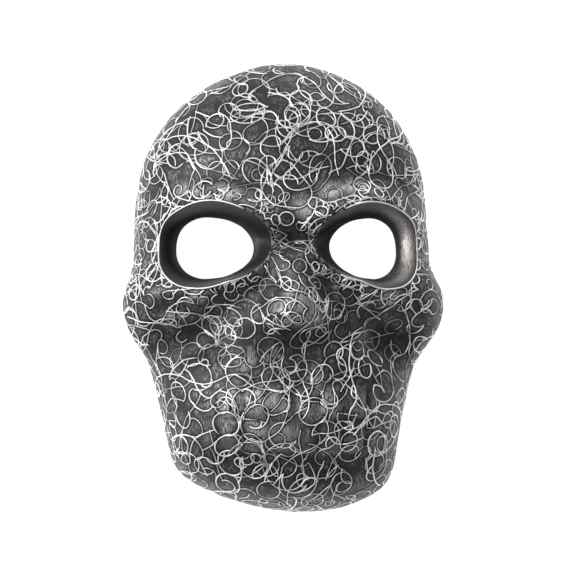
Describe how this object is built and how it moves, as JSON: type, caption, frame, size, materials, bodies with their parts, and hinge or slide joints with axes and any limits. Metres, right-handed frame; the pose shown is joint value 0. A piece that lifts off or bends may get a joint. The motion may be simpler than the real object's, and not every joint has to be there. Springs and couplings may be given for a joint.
{
  "type": "skull mask",
  "caption": "Full-face skull mask, one hollow cast shell with sunken eye sockets open through the wall, teeth in low relief and a flat back rim.",
  "frame": {"origin": "centre of the bounding box at the plane of the back rim", "axes": "+Z out of the face, +Y towards the crown, +X towards the right of someone looking at the face"},
  "size_m": [0.1862, 0.2613, 0.0889],
  "materials": {
    "antiqued_resin": "near-black gunmetal paint, rubbed with silver on what stands out"
  },
  "bodies": {
    "root": {"skull_shell": "antiqued_resin"}
  },
  "joints": []
}
